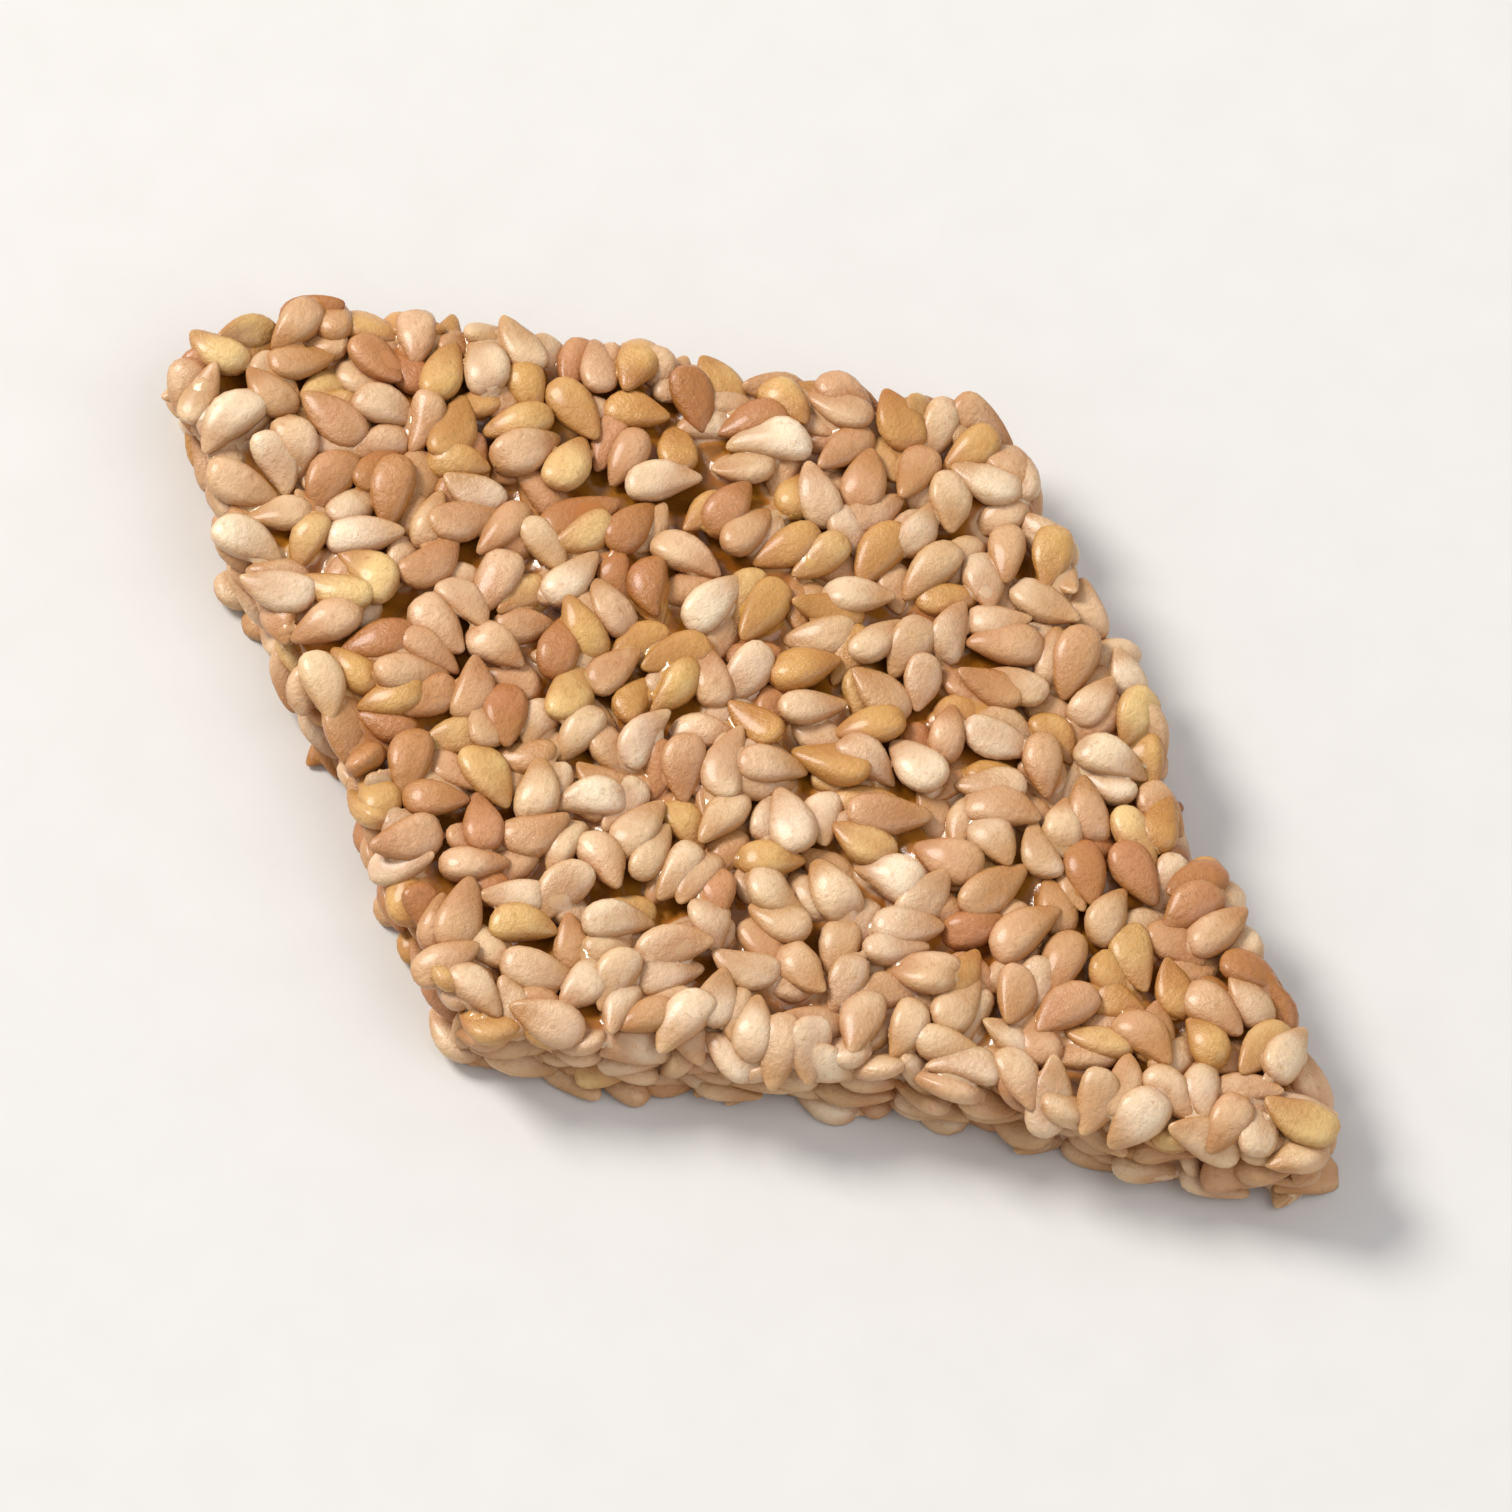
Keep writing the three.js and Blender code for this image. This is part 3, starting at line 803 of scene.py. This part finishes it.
SYRUP_FILM = "#A5641F"  # syrup that set on a seed
SYRUP_TRACE = "#B3773A"  # the same, only a trace of it
CARAMEL_THIN = "#A76724"  # where the caramel thins out over a seed
CARAMEL_DEEP = "#72410E"  # in the crevices, from this
CARAMEL_CLEAR = "#9B621B"  # to this
MOTTLE = (0.9, 4.0, 0.62)  # patches that the pan browned on a seed
MOTTLE_MEAN = 0.5
SKIN_BAND = (0.3, 1.4)  # of a seed's tone and mottle together, from its palest skin to its deepest
SCORCH = (0.35, 3.0, 0.6)  # flecks towards the toe's colour
SCORCH_BAND = (0.56, 0.74)
SCORCH_MOST = 0.5  # how far towards it they go
SEED_DRENCH = (0.05, 0.4)  # how much of the syrup's trace a seed's colour takes on
FINE_WRINKLES = (0.36, 4.0, 0.68)
FINE_WRINKLE_DEPTH = 0.13  # mm
GLAZE_BAND = (0.4, 1.4)  # of a seed's glaze and mottle together, from where it shines most
SEED_ROUGHNESS = (0.28, 0.56)
# Where a seed's skin is darker: the value that says so, from and to where it darkens, how much at the
# most, and towards which colour. None stands for the toe's own.
SEED_SHADES = (
    ("toe", 0.6, 1.0, 0.7, None),
    ("edge", 0.55, 1.0, 0.45, None),
    ("syrup", 0.1, 1.0, 0.65, SYRUP_FILM),
)
SEED_FINISH = {
    "IOR": 1.47,
    "Subsurface Weight": 0.12,
    "Subsurface Radius": (1.0, 0.75, 0.45),
    "Subsurface Scale": 0.5 * MM,
    "Coat Weight": 0.3,
    "Coat Roughness": 0.18,
    "Coat IOR": 1.49,
}


def roasted_seed(name, pale, deep, toe):
    """Sesame seed, hulled and roasted, then stirred into hot syrup: the skin is satin, finely wrinkled and
    mottled by the pan, browner at the toe. A film of syrup gives it small sharp lights and amber feet."""
    material, tree, surface = new_material(name, SEED_FINISH)
    place = add_node(tree, "TexCoord").outputs["Object"]
    mottle = noise(tree, place, MOTTLE)
    depth = add_node(tree, "Math", {0: attribute(tree, "tone"), 1: mottle}, operation="ADD").outputs[0]
    skin = colour_mix(tree, spread(tree, depth, *SKIN_BAND), pale, deep)
    scorch = spread(tree, noise(tree, place, SCORCH), *SCORCH_BAND, 0.0, SCORCH_MOST)
    skin = colour_mix(tree, scorch, skin, toe)
    for value, low, high, most, tint in SEED_SHADES:
        shade = spread(tree, attribute(tree, value), low, high, 0.0, most)
        skin = colour_mix(tree, shade, skin, tint or toe)
    skin = colour_mix(tree, drench(tree, place, *SEED_DRENCH), skin, SYRUP_TRACE)
    tree.links.new(uneven_warmth(tree, place, skin), surface.inputs["Base Color"])
    wrinkles = noise(tree, place, FINE_WRINKLES)
    bumps = {"Height": wrinkles, "Strength": 1.0, "Distance": FINE_WRINKLE_DEPTH * MM}
    relief = add_node(tree, "Bump", bumps)
    tree.links.new(relief.outputs["Normal"], surface.inputs["Normal"])
    glaze = add_node(tree, "Math", {0: attribute(tree, "glaze"), 1: mottle}, operation="ADD").outputs[0]
    tree.links.new(spread(tree, glaze, *GLAZE_BAND, *SEED_ROUGHNESS), surface.inputs["Roughness"])
    return material


CLOUDS = (2.5, 4.0, 0.6)  # patches of deep and of clear caramel
CLOUD_BAND = (0.35, 0.68)
FILM_DRENCH = (0.5, 0.75)  # how much of the set syrup's colour the film over a seed has
FILM_BAND = (-0.1, 0.3)  # of the depth, from a film that shows the seed's colour to thin caramel
AMBER_BAND = (0.2, 0.8)  # of the depth, from there to caramel that hides the seed
RIPPLES = (0.5, 2.0, 0.5)
RIPPLE_BAND = (0.35, 0.7)
RIPPLE_STRENGTH = 0.5
RIPPLE_DEPTH = 0.06  # mm
CARAMEL_ROUGHNESS = (0.1, 0.28)
CARAMEL_FINISH = {
    "IOR": 1.49,
    "Subsurface Weight": 0.2,
    "Subsurface Radius": (1.0, 0.5, 0.18),
    "Subsurface Scale": 0.7 * MM,
}


def set_caramel():
    """Caramel, boiled sugar poured over the seeds and rolled while warm: an amber glass, deep brown where
    it is thick, honey where it thins out over a seed, that shines in the crevices."""
    material, tree, surface = new_material("caramel_boiled_and_rolled", CARAMEL_FINISH)
    place = add_node(tree, "TexCoord").outputs["Object"]
    cloud = spread(tree, noise(tree, place, CLOUDS), *CLOUD_BAND)
    thick = colour_mix(tree, cloud, CARAMEL_DEEP, CARAMEL_CLEAR)
    seed = add_node(tree, "Attribute", attribute_name="seed_below").outputs["Color"]
    depth = attribute(tree, "depth")
    film = colour_mix(tree, drench(tree, place, *FILM_DRENCH), seed, SYRUP_FILM)
    film = colour_mix(tree, spread(tree, depth, *FILM_BAND), film, CARAMEL_THIN)
    amber = colour_mix(tree, spread(tree, depth, *AMBER_BAND), film, thick)
    tree.links.new(uneven_warmth(tree, place, amber), surface.inputs["Base Color"])
    ripples = noise(tree, place, RIPPLES)
    bumps = {"Height": ripples, "Strength": RIPPLE_STRENGTH, "Distance": RIPPLE_DEPTH * MM}
    relief = add_node(tree, "Bump", bumps)
    tree.links.new(relief.outputs["Normal"], surface.inputs["Normal"])
    tree.links.new(spread(tree, ripples, *RIPPLE_BAND, *CARAMEL_ROUGHNESS), surface.inputs["Roughness"])
    return material


PAINT = (3.0, 3.0, 0.5)
PAINT_TINTS = ("#D6D4D0", "#DCDAD7")
PAINT_FINISH = {"Roughness": 0.8}


def painted_table():
    """Board painted matt off-white: even and without shine, so that only the slab draws the eye."""
    material, tree, surface = new_material("board_painted_matt", PAINT_FINISH)
    place = add_node(tree, "TexCoord").outputs["Object"]
    paint = colour_mix(tree, noise(tree, place, PAINT), *PAINT_TINTS)
    tree.links.new(paint, surface.inputs["Base Color"])
    return material


# Roasts: name, share of the seeds, palest skin, deepest skin, toasted toe.
ROASTS = (
    ("seeds_cream", 0.42, "#F8E4C4", "#E9C9A0", "#C5955E"),
    ("seeds_tan", 0.30, "#ECCAA2", "#D4A67A", "#AC7947"),
    ("seeds_honey", 0.18, "#EECD8C", "#D3A159", "#AB7537"),
    ("seeds_toasted", 0.10, "#D8A073", "#B57645", "#8B5429"),
)
DRIFT_WAVES = 6
DRIFT_LENGTH = 38.0  # the drifts' waves are about this long
DRIFT_PULL = 0.42  # how much a drift counts against chance


def roast_numbers(seeds, draw):
    """The number of each seed's roast. Seeds of one pan lie in drifts, so neighbours tend to match."""
    waves = draw.normal(size=(DRIFT_WAVES, 3)) * 2 * np.pi / DRIFT_LENGTH
    phases = draw.uniform(0, 2 * np.pi, DRIFT_WAVES)
    middles = np.array([seed[0] for seed in seeds])
    drift = np.sin(middles @ waves.T + phases).sum(1) * DRIFT_PULL
    order = (drift + draw.normal(size=len(seeds))).argsort()
    ends = np.cumsum([share for _, share, *_ in ROASTS]) * len(seeds)
    return np.searchsorted(ends, order.argsort() + 0.5)


def skin_colours(roasts, tones):
    """Each seed's colour, about as its own material makes it."""
    pale = np.array([colour(pale) for _, _, pale, _, _ in ROASTS])[roasts]
    deep = np.array([colour(deep) for _, _, _, deep, _ in ROASTS])[roasts]
    palest, deepest = SKIN_BAND
    share = np.clip((tones + MOTTLE_MEAN - palest) / (deepest - palest), 0, 1)
    share = (share * share * (3 - 2 * share))[:, None]
    return pale + (deep - pale) * share


# ---------------------------------------------------------------- table, light and camera

CAMERA_AZIMUTH = 40.6  # degrees from -Y
CAMERA_ELEVATION = 59.0
CAMERA_LENS = 400.0
CAMERA_DISTANCE = 0.7  # metres
CAMERA_AIM = Vector((0.0, 0.0, 0.002))
CAMERA_CLIP = (0.01, 20.0)
TABLE_SIZE = 3.0  # metres
TABLE_GAP = 0.02  # mm that the table lies below the slab, so that no two faces coincide
# Lamps: name, azimuth from the camera's, elevation, distance and size in metres, watts, tint.
LAMPS = (
    ("key", -125, 42, 1.0, 0.4, 9.9, "#FFFAF4"),
    ("fill", 60, 50, 1.0, 0.86, 3.0, "#F6F8FF"),
)
SKY_TINT = "#F4F4F6"
SKY_STRENGTH = 0.54


def direction(azimuth, elevation):
    """The way to a point seen at that azimuth and elevation; azimuth 0 is towards -Y."""
    a, e = math.radians(azimuth), math.radians(elevation)
    return Vector((math.sin(a) * math.cos(e), -math.cos(a) * math.cos(e), math.sin(e)))


def table():
    bpy.ops.mesh.primitive_plane_add(size=TABLE_SIZE, location=(0, 0, -TABLE_GAP * MM))
    top = bpy.context.object
    top.name = "table"
    top.data.materials.append(painted_table())


def soft_light(name, azimuth, elevation, distance, size, watts, tint):
    data = bpy.data.lights.new(name, "AREA")
    data.shape = "DISK"
    data.size = size
    data.energy = watts
    data.color = colour(tint)[:3]
    lamp = bpy.data.objects.new(name, data)
    way = direction(azimuth, elevation)
    lamp.location = way * distance
    lamp.rotation_mode = "QUATERNION"
    lamp.rotation_quaternion = way.to_track_quat("Z", "Y")
    bpy.context.scene.collection.objects.link(lamp)


def studio():
    for name, azimuth, *light in LAMPS:
        soft_light(name, CAMERA_AZIMUTH + azimuth, *light)
    world = bpy.data.worlds.new("room")
    world.use_nodes = True
    sky = world.node_tree.nodes["Background"]
    sky.inputs["Color"].default_value = colour(SKY_TINT)
    sky.inputs["Strength"].default_value = SKY_STRENGTH
    bpy.context.scene.world = world
    bpy.context.scene.view_settings.view_transform = "Standard"


def camera():
    data = bpy.data.cameras.new("camera")
    data.lens = CAMERA_LENS
    data.clip_start, data.clip_end = CAMERA_CLIP
    eye = bpy.data.objects.new("camera", data)
    back = direction(CAMERA_AZIMUTH, CAMERA_ELEVATION)
    eye.location = CAMERA_AIM + back * CAMERA_DISTANCE
    eye.rotation_mode = "QUATERNION"
    eye.rotation_quaternion = (-back).to_track_quat("-Z", "Y")
    bpy.context.scene.collection.objects.link(eye)
    bpy.context.scene.camera = eye


# ---------------------------------------------------------------- the slab

LOOKS_START = 7  # where the random numbers for the seeds' own looks begin


def slab():
    hollows = pits()
    top, side = top_seeds(), side_seeds()
    first = top[:TOP_SEEDS] + side[:SIDE_SEEDS]
    shift = frame_shift(first)
    seeds = settled(first, top[TOP_SEEDS:], CROSSING)
    seeds = settled(seeds, side[SIDE_SEEDS:], SIDE_CROSSING, SIDE_WAYS)
    seeds = settled(seeds, floor_seeds(hollows), CROSSING)
    volume = Volume()
    volume.add_core()
    for number, seed in enumerate(seeds):
        volume.add_seed(number, seed)
    volume.settle(hollows)
    volume.fill_bubbles()
    draw = np.random.default_rng(LOOKS_START)
    roasts = roast_numbers(seeds, draw)
    tones = draw.uniform(size=len(seeds))
    pieces = []
    for kind, (name, _, pale, deep, toe) in enumerate(ROASTS):
        chosen = np.flatnonzero(roasts == kind)
        piece = seed_piece(name, [seeds[n] for n in chosen], tones[chosen], volume, shift, draw)
        piece.data.materials.append(roasted_seed(name + "_roasted_in_syrup", pale, deep, toe))
        pieces.append(piece)
    points, faces = volume.skin()
    values = {
        # 0 where the caramel's skin lies on a seed, 1 where no seed shows through
        "depth": np.clip(volume.at(volume.seed_gap, points) / FILM_REACH, -1, 1),
        "seed_below": skin_colours(roasts, tones)[volume.seed_below(points)],
    }
    caramel = mesh_piece("caramel", points, faces.tolist(), caramel_places(points, faces), shift, values)
    caramel.data.materials.append(set_caramel())
    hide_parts("sesame_slab")
    for piece in (caramel, *pieces):
        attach(piece, "root")


slab()
table()
studio()
camera()
